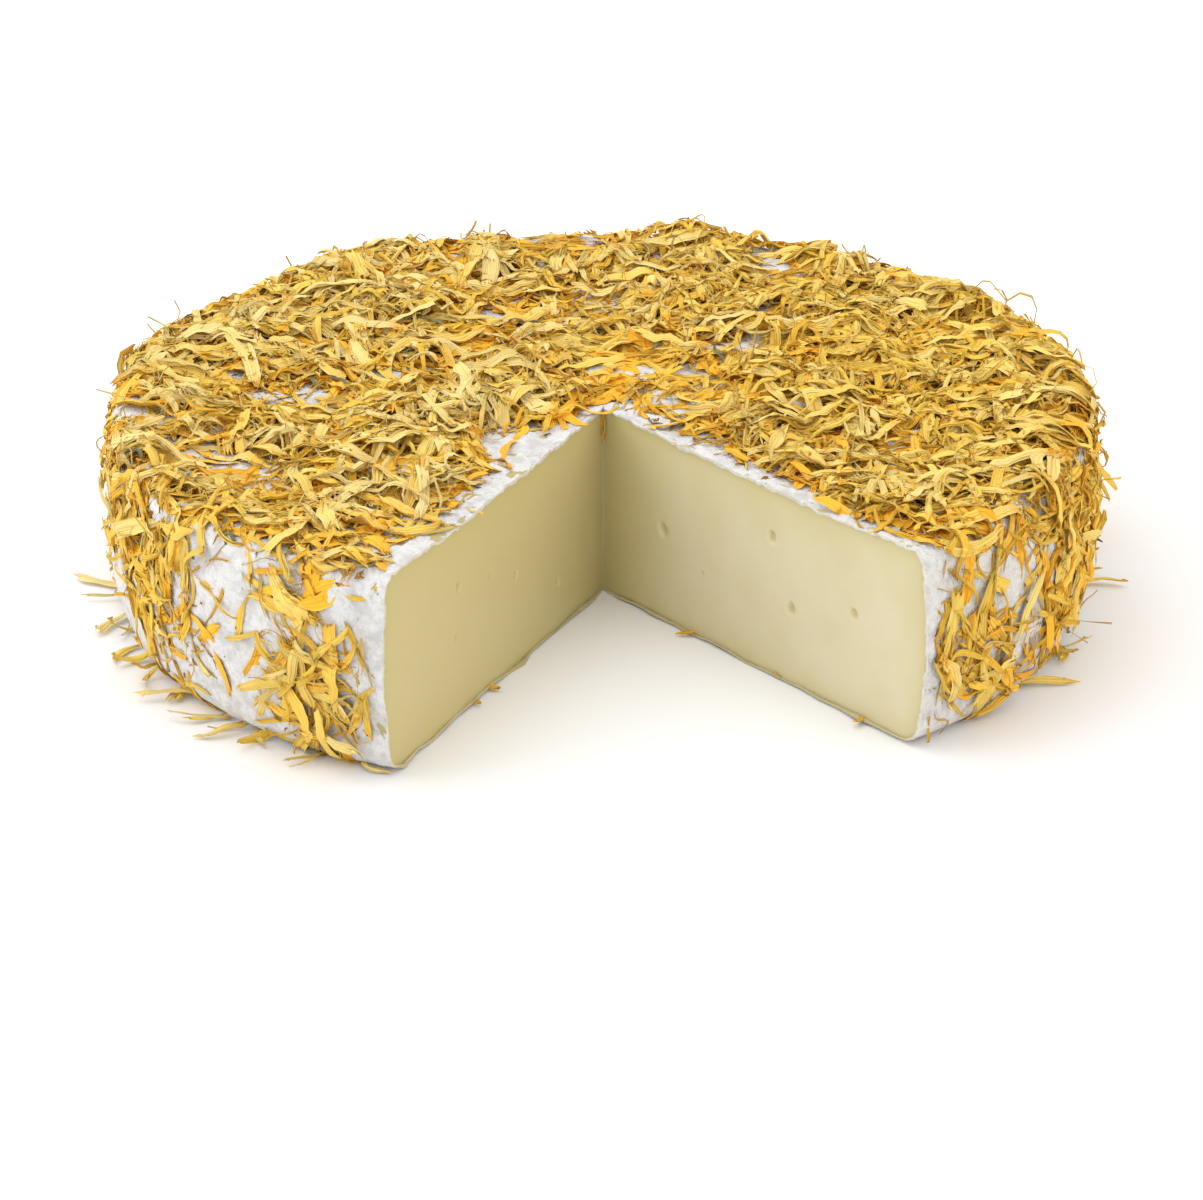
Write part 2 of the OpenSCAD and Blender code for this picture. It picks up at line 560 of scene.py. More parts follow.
def group_tree(name, inputs, outputs):
    """An empty node group with named sockets, given as name: kind."""
    tree = bpy.data.node_groups.new(name, "ShaderNodeTree")
    for socket, kind in inputs.items():
        tree.interface.new_socket(socket, in_out="INPUT", socket_type="NodeSocket" + kind)
    for socket, kind in outputs.items():
        tree.interface.new_socket(socket, in_out="OUTPUT", socket_type="NodeSocket" + kind)
    wiring = Wiring(tree)
    given = tree.nodes.new("NodeGroupInput").outputs
    taken = tree.nodes.new("NodeGroupOutput").inputs
    return tree, wiring, given, taken


# ---------------------------------------------------------------- paste

FACE_ROWS, FACE_COLUMNS = 112, 270
FOOT_ROWS, SHOULDER_ROWS = 14, 10
SIDE_ROWS = FACE_ROWS - FOOT_ROWS - SHOULDER_ROWS
WALL_COLUMNS = 30
CUP_DEPTHS = (0.00005, 0.003)  # how far behind a cut face the frame's eyes reach
LIFT_NOISE = ((0.6, 0.009, 21), (0.35, 0.0028, 22))
LIFT_REACH, LIFT_RISE = 0.0035, 0.002  # how far from the cuts and up the base's lift dies out
RIPE_REACH = 0.0035    # how far from the rind the riper band dies out
BRIM_HEIGHT = 0.10     # height of an eye's brim, as a share of its radius
BRIM_WIDTH = 0.35      # its width, likewise


def frame_eyes(turn):
    """The small eyes that the frame has on one cut face, as distance from the cut point, height
    and radius. The deepest point behind the face is the bottom of the deepest cup, which gives
    that eye's place and radius; its cup is taken away and the next is found."""
    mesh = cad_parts[NODE].data
    points = np.empty(len(mesh.vertices) * 3, np.float32)
    mesh.vertices.foreach_get("co", points)
    points = points.reshape(-1, 3).astype(float)
    f = settings("form")
    x, y = (points[:, :2] - cut_point()).T
    along = x * math.cos(turn) + y * math.sin(turn)
    behind = np.abs(x * math.sin(turn) - y * math.cos(turn))
    inside = (behind > CUP_DEPTHS[0]) & (behind < CUP_DEPTHS[1]) \
        & (along > f.shoulder) & (along < reach(np.array(turn)) - f.foot) \
        & (points[:, 2] > f.foot / 2) & (points[:, 2] < f.height - f.shoulder)
    left = np.stack([along, points[:, 2], behind], axis=1)[inside]
    eyes = []
    while len(left):
        eye = left[left[:, 2].argmax()]
        eyes.append(eye)
        left = left[np.hypot(left[:, 0] - eye[0], left[:, 1] - eye[1]) > 1.5 * eye[2]]
    return np.array(eyes).reshape(-1, 3)


def coons(bottom, right, top, left):
    """A grid that fills four boundary curves: the two blends between facing curves, less the
    blend of their four corners."""
    u = np.linspace(0, 1, len(bottom))[None, :, None]
    v = np.linspace(0, 1, len(right))[:, None, None]
    across = (1 - u) * left[:, None] + u * right[:, None]
    upward = (1 - v) * bottom[None] + v * top[None]
    corners = (1 - u) * (1 - v) * bottom[0] + u * (1 - v) * bottom[-1] \
        + (1 - u) * v * top[0] + u * v * top[-1]
    return across + upward - corners


def base_lift(points):
    """How far the base is pulled up beside the cuts: ragged noise that dies out within a few
    millimetres of the face and towards the cut point and the rim."""
    rind = settings("rind")
    ragged = 0.5 + layers(points, LIFT_NOISE)
    near = np.exp(np.minimum(past_cut(points), 0) / LIFT_REACH)
    out = np.hypot(points[..., 0], points[..., 1])
    low = np.exp(-np.maximum(points[..., 2], 0) / LIFT_RISE)
    return rind.lift * near * low * np.clip(ragged, 0, 1.6) * smooth(0.004, 0.015, out)


def cut_face(turn, outward, seed):
    """One cut face as a grid over the half section. The knife left it a little wavy, and its eyes
    are cups: half spheres pushed in, with rounded brims. Returns the points, how far each lies
    inside the skin, and how deep it lies in an eye."""
    paste = settings("paste")
    across = FACE_COLUMNS
    steps = across, FOOT_ROWS, SIDE_ROWS, SHOULDER_ROWS, across
    depth, height = section([turn], paste.inset, steps)
    along = (reach(np.array([turn])) - settings("form").bow - depth)[:, 0]
    loop = np.stack([along, height[:, 0]], axis=1)
    bottom, right = loop[:across + 1], loop[across:across + FACE_ROWS + 1]
    top = loop[across + FACE_ROWS:][::-1]
    heart = np.linspace(bottom[0], top[0], FACE_ROWS + 1)
    flat = coons(bottom, right, top, heart)
    points = from_cut_point(turn, flat[..., 0], flat[..., 1])
    rind_near = np.maximum(-skin_distance(points), 0)
    inner = smooth(0, 0.003, rind_near) * smooth(0, 0.004, flat[..., 0])
    knife = layers(points, ((1.0, 0.022, seed), (0.4, 0.007, seed + 1)))
    push = paste.wave * knife * inner
    hollow = np.zeros(flat.shape[:2])
    for out, up, radius in frame_eyes(turn):
        away = np.hypot(flat[..., 0] - out, (flat[..., 1] - up) * 0.9)
        away = away * (1 + 0.18 * noise(points, 0.0016, seed + 5))
        cup = np.sqrt(np.maximum(radius ** 2 - away ** 2, 0)) * 0.9
        past_brim = (away - 1.05 * radius) / (BRIM_WIDTH * radius)
        brim = BRIM_HEIGHT * radius * np.exp(-past_brim ** 2)
        hollow = np.maximum(hollow, cup / radius)
        push = push - cup - brim * (away > radius)
    sway = math.sin(turn) * outward, -math.cos(turn) * outward
    points[..., 0] += push * sway[0]
    points[..., 1] += push * sway[1]
    points[..., 2] += base_lift(points)
    return points, rind_near, hollow


def paste_arrays():
    """The paste's points, quads, triangles and vertex colours. Two cut faces share the heart line
    where they meet, and a plainer wall, hidden under the rind, joins their outlines."""
    right, left = cut_turns()
    first, near_a, hollow_a = cut_face(right, 1, 31)
    last, near_b, hollow_b = cut_face(left, -1, 35)
    last[:, 0] = first[:, 0]
    rows, columns = first.shape[:2]
    ring = 2 * (columns - 1) + rows - 1
    index_a = np.arange(rows * columns).reshape(rows, columns)
    index_b = index_a + rows * columns
    index_b[:, 0] = index_a[:, 0]

    def loop(grid):
        """A face's outline: out along its base, up its rim and back along its top."""
        return np.concatenate([grid[0, :-1], grid[:-1, -1], grid[-1, ::-1]])

    turns = np.linspace(right, left, WALL_COLUMNS + 1)[1:-1]
    steps = columns - 1, FOOT_ROWS, SIDE_ROWS, SHOULDER_ROWS, columns - 1
    depth, height = section(turns, settings("paste").inset, steps)
    wall = place(turns[None, :], depth, height)
    index_wall = 2 * rows * columns + np.arange((ring + 1) * len(turns)).reshape(ring + 1, -1)
    index = np.concatenate([loop(index_a)[:, None], index_wall, loop(index_b)[:, None]], axis=1)
    index[0], index[-1] = index_a[0, 0], index_a[-1, 0]
    skin = grid_quads(index[1:-1])[:, ::-1]
    low_fan = np.stack([np.full(len(index[0]) - 1, index[0, 0]), index[1, 1:], index[1, :-1]], 1)
    high_fan = np.stack([np.full(len(index[0]) - 1, index[-1, 0]), index[-2, :-1],
                         index[-2, 1:]], 1)
    quads = np.concatenate([grid_quads(index_a)[:, ::-1], grid_quads(index_b), skin])
    points = np.concatenate([first.reshape(-1, 3), last.reshape(-1, 3), wall.reshape(-1, 3)])
    near = np.concatenate([near_a.ravel(), near_b.ravel(), np.zeros(wall[..., 0].size)])
    hollow = np.concatenate([hollow_a.ravel(), hollow_b.ravel(), np.zeros(wall[..., 0].size)])
    ripe = np.exp(-near / RIPE_REACH)
    colours = np.stack([ripe, hollow, 0 * near, np.ones(len(near))], axis=1)
    return points, quads, np.concatenate([low_fan, high_fan]), colours


def paste_material():
    """Satin, creamy paste: riper in a band under the rind and from the heart to the left, with
    faint clouds, darker eyes, and the knife's fine drag marks."""
    look = settings("paste")
    material, w, shader = new_material(
        "cheese_paste", Specular_IOR_Level=0.4, Subsurface_Weight=0.6,
        Subsurface_Radius=(1.0, 0.72, 0.35), Subsurface_Scale=0.004)
    where = w.node("TexCoord").outputs["Object"]
    marks = w.node("Attribute", {"attribute_name": "paste"}).outputs["Color"]
    ripe, hollow, _ = w.node("SeparateColor", Color=marks).outputs
    clouds = w.noise(where, 60.0, 3.0)
    # Painted shade: the ripe colour spreads over the left cut face, which faces away from the
    # light, and towards the heart, where the two faces shade each other; the faint clouds add a
    # little real ripeness.
    side = w.node("SeparateXYZ", Vector=where).outputs[0]
    heart = w.step(side, 0.026, -0.002, 0.0, 0.75)
    heart = w.maths("MAXIMUM", heart, w.step(clouds, 0.35, 0.7, 0.0, 0.2))
    tone = w.mix(heart, look.body, look.ripe)
    tone = w.mix(w.maths("MULTIPLY", ripe, 0.75), tone, look.ripe)
    tone = w.mix(w.maths("MULTIPLY", hollow, 0.8), tone, look.eye)
    w.feed(shader, "Base Color", tone)
    stretched = w.node("Mapping", Vector=where, Scale=(1.0, 1.0, 0.22)).outputs[0]
    drag = w.noise(stretched, 900.0, 3.0)
    grain = w.noise(where, 2600.0, 2.0)
    relief = w.maths("ADD", drag, w.maths("MULTIPLY", grain, 0.6))
    w.bump(shader, 0.35, 0.00006, relief)
    w.feed(shader, "Roughness", w.step(clouds, 0.2, 0.8, 0.40, 0.52))
    return material


class CHEESE_OT_add_paste(bpy.types.Operator):
    """Make the paste, with its two cut faces and their eyes"""
    bl_idname = "cheese.add_paste"
    bl_label = "Add Paste"

    def execute(self, context):
        """Makes the paste's mesh and puts it in the place of the frame's wheel."""
        points, quads, triangles, colours = paste_arrays()
        mesh = make_mesh("paste", points, quads, triangles)
        vertex_colour(mesh, "paste", colours)
        piece = add_piece("paste", mesh, paste_material())
        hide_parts(NODE)
        return {"FINISHED"}


# ---------------------------------------------------------------- rind

RIND_STEPS = (16, 14, 34, 9, 84)
LIP_WIDTH = 0.13      # turn beside each cut over which the columns are fine
LIP_COLUMNS = 26
RIND_COLUMNS = 350
UNDER_COLUMNS = 28
LUMPS = ((1.0, 0.0062, 3), (0.6, 0.0029, 4))
FLUFF = ((1.0, 0.0011, 5), (0.7, 0.0006, 6))
FLUFF_REACH = 0.006   # how far from the cuts the fluff goes back to its plain depth
THICK_AND_THIN = ((0.45, 0.0034, 11), (0.3, 0.0012, 12))
PIT_DEPTH = 0.0005
TORN = 4.5            # how many times further the lip stands out at the foot of a cut


def rind_turns():
    """The directions of the rind's columns: close together beside the cuts and even between."""
    right, left = cut_turns()
    fine = np.linspace(0, LIP_WIDTH, LIP_COLUMNS + 1)[:-1]
    even = np.linspace(right + LIP_WIDTH, left - LIP_WIDTH, RIND_COLUMNS + 1)
    return np.concatenate([right + fine, even, left - fine[::-1]])


def rind_relief(points):
    """Height of the rind's bumps: slow swells, small lumps and fine fluff, which is deepest beside
    the cuts, and scattered pits where petals were rubbed off."""
    look = settings("rind")
    near = np.exp(np.minimum(past_cut(points), 0) / FLUFF_REACH)
    fluff = look.fluff * layers(points, FLUFF) * (0.6 + 0.7 * near)
    pits = PIT_DEPTH * smooth(0.62, 0.9, noise(points, 0.0035, 8))
    return look.relief * layers(points, LUMPS) + fluff - pits


def rind_skin(turns):
    """The rind's outer skin as a grid: the half section swept round, pushed out along its normals
    by its relief. The base stays flat, but for what the knife pulled up."""
    depth, height = section(turns, 0.0, RIND_STEPS)
    points = place(turns[None, :], depth, height)
    points[0], points[-1] = points[0, 0], points[-1, 0]
    bare = smooth(0.0, 0.004, points[..., 2]) * smooth(0.0005, 0.006, np.hypot(
        points[..., 0] - cut_point()[0], points[..., 1] - cut_point()[1]))
    points = points + (rind_relief(points) * bare)[..., None] * skin_normal(points)
    points[..., 2] += base_lift(points)
    return points


def stand_lips(grid):
    """Moves the two edges of a grid out of the cuts by the lip, which is ragged and stands out
    further where it is torn, at the foot. It dies out at the cut point."""
    look = settings("rind")
    right, left = cut_turns()
    for column, turn, side in ((0, right, 1), (-1, left, -1)):
        edge = grid[:, column]
        stand = look.lip * (0.75 + 0.5 * noise(edge, 0.0015, 14))
        torn = 1 + TORN * smooth(0.003, 0.0, edge[:, 2]) * (0.6 + noise(edge, 0.005, 15))
        away = np.linalg.norm(edge[:, :2] - cut_point(), axis=1)
        stand = stand * np.maximum(torn, 0.5) * smooth(0.0008, 0.004, away)
        edge[:, 0] += stand * math.sin(turn) * side
        edge[:, 1] -= stand * math.cos(turn) * side
    grid[0], grid[-1] = grid[0].mean(0), grid[-1].mean(0)


def without_loose(points, quads, triangles, colours):
    """The same arrays without the points that no face has."""
    kept = np.zeros(len(points), bool)
    kept[quads] = kept[triangles] = True
    renumber = np.cumsum(kept) - 1
    return points[kept], renumber[quads], renumber[triangles], colours[kept]


def rind_arrays():
    """The rind as a closed shell: the skin, a plain surface under it, and lips in the two cuts,
    which stand a little out of the paste."""
    look = settings("rind")
    turns = rind_turns()
    skin = rind_skin(turns)
    rows, columns = skin.shape[:2]
    picks = np.unique(np.round(np.linspace(0, columns - 1, UNDER_COLUMNS)).astype(int))
    at = skin[:, picks]
    thin = smooth(0.0, 0.006, at[..., 2])
    ragged = 1 + layers(at, THICK_AND_THIN)
    deep = (look.base_thickness + (look.thickness - look.base_thickness) * thin) * ragged
    under = at - deep[..., None] * skin_normal(at)
    stand_lips(skin)
    stand_lips(under)
    top = np.arange(rows * columns).reshape(rows, columns)
    low = top.size + np.arange(rows * len(picks)).reshape(rows, -1)
    for index in (top, low):
        index[0], index[-1] = index[0, 0], index[-1, 0]
    quads, fans = [], []
    for index, out in ((top, 1), (low, -1)):
        quads.append(grid_quads(index[1:-1])[:, ::-out])
        for pole, ring, way in ((index[0, 0], index[1], 1), (index[-1, 0], index[-2], -1)):
            fan = np.stack([np.full(len(ring) - 1, pole), ring[1:], ring[:-1]], axis=1)
            fans.append(fan[:, ::way * out])
    for outer, inner, way in ((top[:, 0], low[:, 0], 1), (top[:, -1], low[:, -1], -1)):
        quads.append(grid_quads(np.stack([outer, inner], axis=1))[:, ::way])
    points = np.concatenate([skin.reshape(-1, 3), under.reshape(-1, 3)])
    lip = np.zeros(len(points))
    lip[top[:, [0, -1]]] = 0.5
    lip[low[:, [0, -1]]] = 1.0
    colours = np.stack([lip, lip, lip, np.ones(len(lip))], axis=1)
    return without_loose(points, np.concatenate(quads), np.concatenate(fans), colours)


def rind_material():
    """White mould with greyer patches, tan spots, small dark specks and a fine felt. Where it is
    cut it shows creamy, and at the foot of the cuts riper."""
    look = settings("rind")
    material, w, shader = new_material(
        "cheese_rind", Specular_IOR_Level=0.25, Subsurface_Weight=0.25,
        Subsurface_Radius=(1.0, 0.85, 0.6), Subsurface_Scale=0.0015)
    where = w.node("TexCoord").outputs["Object"]
    marks = w.node("Attribute", {"attribute_name": "rind"}).outputs["Fac"]
    slow = w.noise(where, 150.0, 4.0, 0.65)
    fine = w.noise(where, 620.0, 3.0, 0.6)
    tone = w.mix(w.step(slow, 0.44, 0.66, 0.0, 0.7), look.bloom, look.shade)
    tone = w.mix(w.step(fine, 0.45, 0.65, 0.0, 0.45), tone, look.shade)
    spots = w.node("TexVoronoi", Vector=where, Scale=150.0).outputs["Distance"]
    spots = w.maths("MULTIPLY", w.step(spots, 0.20, 0.08), w.step(slow, 0.50, 0.62))
    tone = w.mix(w.maths("MULTIPLY", spots, 0.55), tone, look.stain)
    specks = w.node("TexVoronoi", Vector=where, Scale=420.0).outputs["Distance"]
    specks = w.maths("MULTIPLY", w.step(specks, 0.16, 0.07), w.step(fine, 0.54, 0.60))
    tone = w.mix(w.maths("MULTIPLY", specks, 0.7), tone, look.speck)
    cream = w.step(marks, 0.3, 1.0, 0.0, 0.6)
    tone = w.mix(cream, tone, settings("paste").body)
    # Painted shade: near the floor the cut lip takes the paste's ripe colour, standing for the dark
    # line of shadow at the foot of the cuts.
    height = w.node("SeparateXYZ", Vector=where).outputs[2]
    torn = w.maths("MULTIPLY", w.step(height, 0.004, 0.0008), w.step(marks, 0.05, 0.5, 0.0, 0.75))
    tone = w.mix(torn, tone, settings("paste").ripe)
    w.feed(shader, "Base Color", tone)
    felt = w.noise(where, 1500.0, 4.0, 0.7)
    relief = w.maths("ADD", felt, w.maths("MULTIPLY", fine, 1.2))
    w.bump(shader, 0.8, 0.0006, relief)
    w.feed(shader, "Roughness", w.step(fine, 0.3, 0.7, 0.85, 0.95))
    return material


class CHEESE_OT_add_rind(bpy.types.Operator):
    """Make the white rind as a thin shell round the paste"""
    bl_idname = "cheese.add_rind"
    bl_label = "Add Rind"

    def execute(self, context):
        """Does the same for the rind, whose shading breaks along its cut edges."""
        points, quads, triangles, colours = rind_arrays()
        mesh = make_mesh("rind", points, quads, triangles)
        vertex_colour(mesh, "rind", colours)
        lip = colours[edge_ends(mesh), 0]
        sharpen(mesh, (lip[:, 0] == lip[:, 1]) & (lip[:, 0] > 0))
        piece = add_piece("rind", mesh, rind_material())
        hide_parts(NODE)
        return {"FINISHED"}


# ---------------------------------------------------------------- petals

MAT_BATCHES = 12
CUT_MARGIN = 0.002     # petals start, and head, no nearer to a cut than this
CLUMP = 4              # most petals that keep together in one torn piece of flower
LAYERED_KINDS = [name for name in ALL_KINDS if name != "petal_mat"]
OVERHANG_SHARE = 0.035  # share of the petals that may hang over a cut, and how far
OVERHANG = 0.0045
CLEAR_OF_FLOOR = 0.0003
CLEAR_OF_OTHERS = 0.00005
UNDER_EDGE = 0.0004    # height at which petals are caught under the wheel's edge
STEEP = 0.7            # the skin counts as side where its normal rises by less than this
STRIP_ON_SIDE = 0.35   # width of the bare strip there, as a share of its width on the top
MORE_ON_SIDE = 3.5     # how many times as often the tips lift on the side
ROUND_SHOULDER = 0.6   # change of the normal's rise along a petal that lies round the shoulder
RAGGED_STRIP = 0.0016  # how far the edge of the bare strip wanders from petal to petal
GOLDEN_SHARE = 0.618034
ANY_PHASE = 6.28       # a whole turn, for waves that start anywhere
SCRAP_LEFT = 0.45      # how much of its petal a scrap under the cuts still has
# Shreds in the corner of the cuts: their length, how far below the top, and how far out.
CORNER_RANGES = ((0.004, 0.009), (-0.001, 0.004), (0.0003, 0.0012))
# Painted shade: between these heights petals go from deep, low in the coat, to pale on top.
FULL_SHADE_HEIGHT, NO_SHADE_HEIGHT = 0.0004, 0.0048  # heights between which petals go from deep to pale


class Coat:
    """How thick the petals lie so far, on a chart of the skin: each place is as far from the
    chart's middle as it is from the cut point, over the shoulder and down the side."""

    def __init__(self):
        """Starts an empty chart, wide enough for the whole skin laid flat."""
        f = settings("form")
        self.cell = settings("coat").cell
        self.half = f.diameter / 2 + f.height + 0.01
        wide = int(2 * self.half / self.cell) + 1
        self.thick = np.zeros((wide, wide))

    def cells(self, points):
        """The chart's cell for each point: its direction from the cut point, and how far away it
        is in plan, plus how far it lies below the rim."""
        f = settings("form")
        out = points[..., :2] - cut_point()
        away = np.maximum(np.hypot(out[..., 0], out[..., 1]), 1e-6)
        drop = np.clip(f.height - points[..., 2], 0, f.height)
        chart = out * (1 + drop / away)[..., None]
        found = np.round((chart + self.half) / self.cell).astype(int)
        return tuple(np.clip(found, 0, len(self.thick) - 1)[..., i] for i in (0, 1))

    def under(self, points):
        """How high the petals lie so far at each point."""
        return self.thick[self.cells(points)]

    def cover(self, points, heights):
        """Raises the chart to the given heights where it is lower."""
        np.maximum.at(self.thick, self.cells(points), heights)

    def cover_petals(self, spread, heights):
        """Raises the chart to whole petals: at every point of their grids, and half way between
        the points, along them and across them."""
        for axis in (1, 2):
            self.cover(spread, heights)
            late = (slice(None),) * axis + (slice(1, None),)
            early = (slice(None),) * axis + (slice(-1),)
            spread, heights = (
                np.concatenate([x, (x[late] + x[early]) / 2], axis=axis)
                for x in (spread, heights))
        self.cover(spread, heights)


def normalised(vectors):
    """Vectors divided by their lengths."""
    return vectors / np.maximum(np.linalg.norm(vectors, axis=-1, keepdims=True), 1e-12)


def level_way(turn):
    """Level directions, from their turns."""
    return np.stack([np.cos(turn), np.sin(turn), 0 * turn], axis=1)


def turned(heading, normal, by):
    """A direction turned about the normal by an angle, for directions that lie in the surface."""
    by = np.asarray(by)[:, None]
    return heading * np.cos(by) + np.cross(normal, heading) * np.sin(by)


def start_points(rng, number, side_share):
    """Random places on the skin, evenly over the area of the top and of the side, thinned where
    slow noise says so: the side is patchy, most of all low down."""
    f, coat = settings("form"), settings("coat")
    right, left = cut_turns()
    turn = rng.uniform(right, left, number)
    on_side = rng.random(number) < side_share
    away = reach(turn) * np.sqrt(rng.random(number))
    height = f.height - rng.random(number) * (f.height - 0.003)
    flat = from_cut_point(turn, away, f.height)
    upright = from_cut_point(turn, reach(turn), height)
    points = np.where(on_side[:, None], upright, flat)
    patches = noise(points, coat.patch, 61) + 0.5 * noise(points, coat.patch / 2.5, 62)
    low = 1 - points[:, 2] / f.height
    chance = np.where(on_side, smooth(-0.55, 0.35, patches + 0.25 - 0.5 * low),
                      smooth(-1.0, 0.5, patches))
    chance = chance * smooth(0.0, CUT_MARGIN, -past_cut(points))
    points = points[rng.random(number) < chance]
    first = np.arange(len(points)) // CLUMP * CLUMP
    clumped = rng.random(len(points)) < coat.clumped
    near = points[first] + rng.normal(0, 0.0006, points.shape)
    return np.where(clumped[:, None], near, points)


def march(points, heading, bend, lengths, limp=None):
    """Carries each petal's middle line from its base: at every step it goes straight on, is drawn
    towards the skin along the skin's normal, and turns by its own bend, which changes along it. A
    limp petal, 1, keeps to the skin, and a stiff one, near 0, goes on past the shoulder. Without
    limp they all keep to the level that they start at. Returns the places, and the directions
    along, across and out."""
    places, along, outward = [], [], []
    stations = bend.shape[1]
    step = lengths / (stations - 1)
    up = np.broadcast_to(np.array([0.0, 0.0, 1.0]), points.shape)

    def settle(at, share):
        """Draws points that lie off the skin back to it by a share of their distance."""
        if limp is None:
            return at, up
        away = skin_distance(at)
        drawn = away * np.where(away > 0, share, 1)
        at = at - drawn[:, None] * skin_normal(at)
        return at, skin_normal(at)

    points, normal = settle(points, 1)
    for station in range(stations):
        heading = normalised(heading - normal * (heading * normal).sum(-1, keepdims=True))
        places.append(points)
        along.append(heading)
        outward.append(normal)
        points, normal = settle(points + heading * step[:, None], limp)
        heading = turned(heading, normal, bend[:, station] * step)
    places, along, outward = (np.stack(x, axis=1) for x in (places, along, outward))
    return places, along, np.cross(outward, along), outward


def wander(rng, number, t, orders=3):
    """A smooth random line for each petal, from a few sines of rising order."""
    total = 0
    for order in range(1, orders + 1):
        size = rng.normal(0, 1 / order, (number, 1))
        total = total + size * np.sin(math.pi * order * t + rng.uniform(0, ANY_PHASE, (number, 1)))
    return total


def petal_shape(rng, kind, number):
    """Each petal's cross-sections along its length, as distances across and up from its middle
    line: an arc, rolled up or down at the edges, with pleats across it, widening from a narrow or
    torn base to a blunt, toothed tip, and twisted about its length. Returns also how far the tip's
    teeth reach ahead, and how far each strip leans from level."""
    t = np.linspace(0, 1, kind.along)[None, :]
    u = np.linspace(-1, 1, kind.across + 1)[None, None, :]
    one = (number, 1)
    half = (kind.wide_low + (kind.wide_high - kind.wide_low) * rng.beta(1.3, 1.7, one)) / 2
    base = rng.uniform(0.25, 0.95, one)
    tip = rng.uniform(0.35, 1.05, one)
    grow = smooth(0.0, rng.uniform(0.2, 0.8, one), t)
    narrow = smooth(rng.uniform(0.4, 0.9, one), 1.05, t)
    wide = half * (base + (1 - base) * grow) * (1 - (1 - tip) * narrow)
    wide = (wide * np.clip(1 + 0.16 * wander(rng, number, t, 5), 0.5, 1.5))[..., None]
    way = np.where(rng.random(one) < 0.62, 1.0, -1.0)
    rolled = kind.curl * rng.uniform(0.3, 1.35, one) * (1 + 0.35 * wander(rng, number, t))
    rolled = np.clip(rolled, 0.12, 2.8)[..., None]
    across = wide * np.sin(rolled * u) / rolled
    up = way[..., None] * wide * (1 - np.cos(rolled * u)) / rolled
    pleats = rng.integers(2, 4, (number, 1, 1))
    start = rng.uniform(0, ANY_PHASE, (number, 1, 1))
    deep = kind.pleat * rng.uniform(0.5, 1.4, (number, 1, 1))
    up = up + deep * wide * np.sin(math.pi * pleats * u + start) * (1 - 0.4 * u * u)
    crumple = rng.normal(0, 1, across.shape)
    crumple[:, 1:-1] = (crumple[:, :-2] + 2 * crumple[:, 1:-1] + crumple[:, 2:]) / 4
    up = up + 0.14 * half[..., None] * crumple
    roll = rng.normal(0, 0.28, one) + kind.twist * rng.normal(0, 0.5, one) * (t - 0.5)
    cos, sin = np.cos(roll)[..., None], np.sin(roll)[..., None]
    teeth = rng.integers(1, 3, one)
    comb = np.cos(math.pi * (2 * teeth - 1) * u[0]) * (teeth == 2) - 0.8 * u[0] ** 2
    ahead = np.zeros_like(across)
    ragged = rng.normal(0, 0.5, (number, kind.across + 1))
    ahead[:, -1] = kind.tooth * (comb * rng.uniform(0.2, 1.2, one) + ragged)
    ahead[:, 0] = 0.5 * kind.tooth * rng.normal(0, 1, (number, kind.across + 1))
    lean = roll[..., None] + way[..., None] * rolled * u
    return across * cos - up * sin, across * sin + up * cos, ahead, lean


def own_bow(rng, kind, lengths, lift_share):
    """How far each petal stands off by its own shape: bowed up in the middle or at its ends, and
    for some with a tip that lifts well away."""
    t = np.linspace(0, 1, kind.along)[None, :]
    one = (len(lengths), 1)
    wild = rng.normal(0, 1, one) * np.abs(rng.normal(0, 1, one))
    bow = kind.arch * wild * 4 * t * (1 - t)
    bow = bow + 0.25 * kind.arch * wander(rng, len(lengths), t)
    lift = np.where(rng.random(one) < lift_share, rng.uniform(0.2, 0.8, one),
                    np.abs(rng.normal(0, 1.6 * kind.arch ** 1.5, one)))
    bow = lengths[:, None] * (bow + lift * smooth(0.25, 1.3, t))
    return bow - bow.min(axis=1, keepdims=True)


def bends(rng, kind, lengths):
    """How each petal's middle line turns within its own surface: one even bend and one that
    swings over, so that narrow petals make hooks and S shapes."""
    t = np.linspace(0, 1, kind.along)[None, :]
    one = (len(lengths), 1)
    narrow = 0.45 + 0.0014 / (kind.wide_low + kind.wide_high)
    swing = rng.normal(0, 1.6, one) * np.sin(1.5 * math.pi * t + rng.uniform(0, ANY_PHASE, one))
    return narrow * (rng.normal(0, 0.7, one) + swing) / lengths[:, None]


def petal_arrays(frames, shape, height, chosen):
    """The chosen petals' vertices, the directions out of their fronts, and their colours. These
    hold the petal's tone, which is paler the higher it lies, the place along and across it, and
    another number that differs from petal to petal."""
    places, along, sideways, outward = (x[chosen] for x in frames)
    across, _, ahead, lean = (x[chosen] for x in shape)
    height = height[chosen]
    vertices = places[:, :, None] + sideways[:, :, None] * across[..., None] \
        + outward[:, :, None] * height[..., None] + along[:, :, None] * ahead[..., None]
    vertices[..., 2] = np.maximum(vertices[..., 2], CLEAR_OF_FLOOR)
    lean = lean[..., None]
    front = outward[:, :, None] * np.cos(lean) - sideways[:, :, None] * np.sin(lean)
    number, rows, columns = across.shape
    order = np.arange(number)[:, None, None]
    t = np.linspace(0, 1, rows)[None, :, None]
    u = np.linspace(0, 1, columns)[None, None, :]
    own = hashed(np.round(places[:, :1, None] * 1e6).astype(np.int64), 5)
    other = (own * 97 + order * GOLDEN_SHARE) % 1
    high = height.mean(axis=(1, 2)) + skin_distance(places).mean(axis=1)
    # Painted shade: the tone is random from petal to petal, and lower for petals that lie low in
    # the coat, in the shade of those above.
    tone = 0.6 * own + 0.4 * smooth(FULL_SHADE_HEIGHT, NO_SHADE_HEIGHT, high)[:, None, None]
    return vertices, front, np.stack(np.broadcast_arrays(tone, t, u, other), axis=-1)


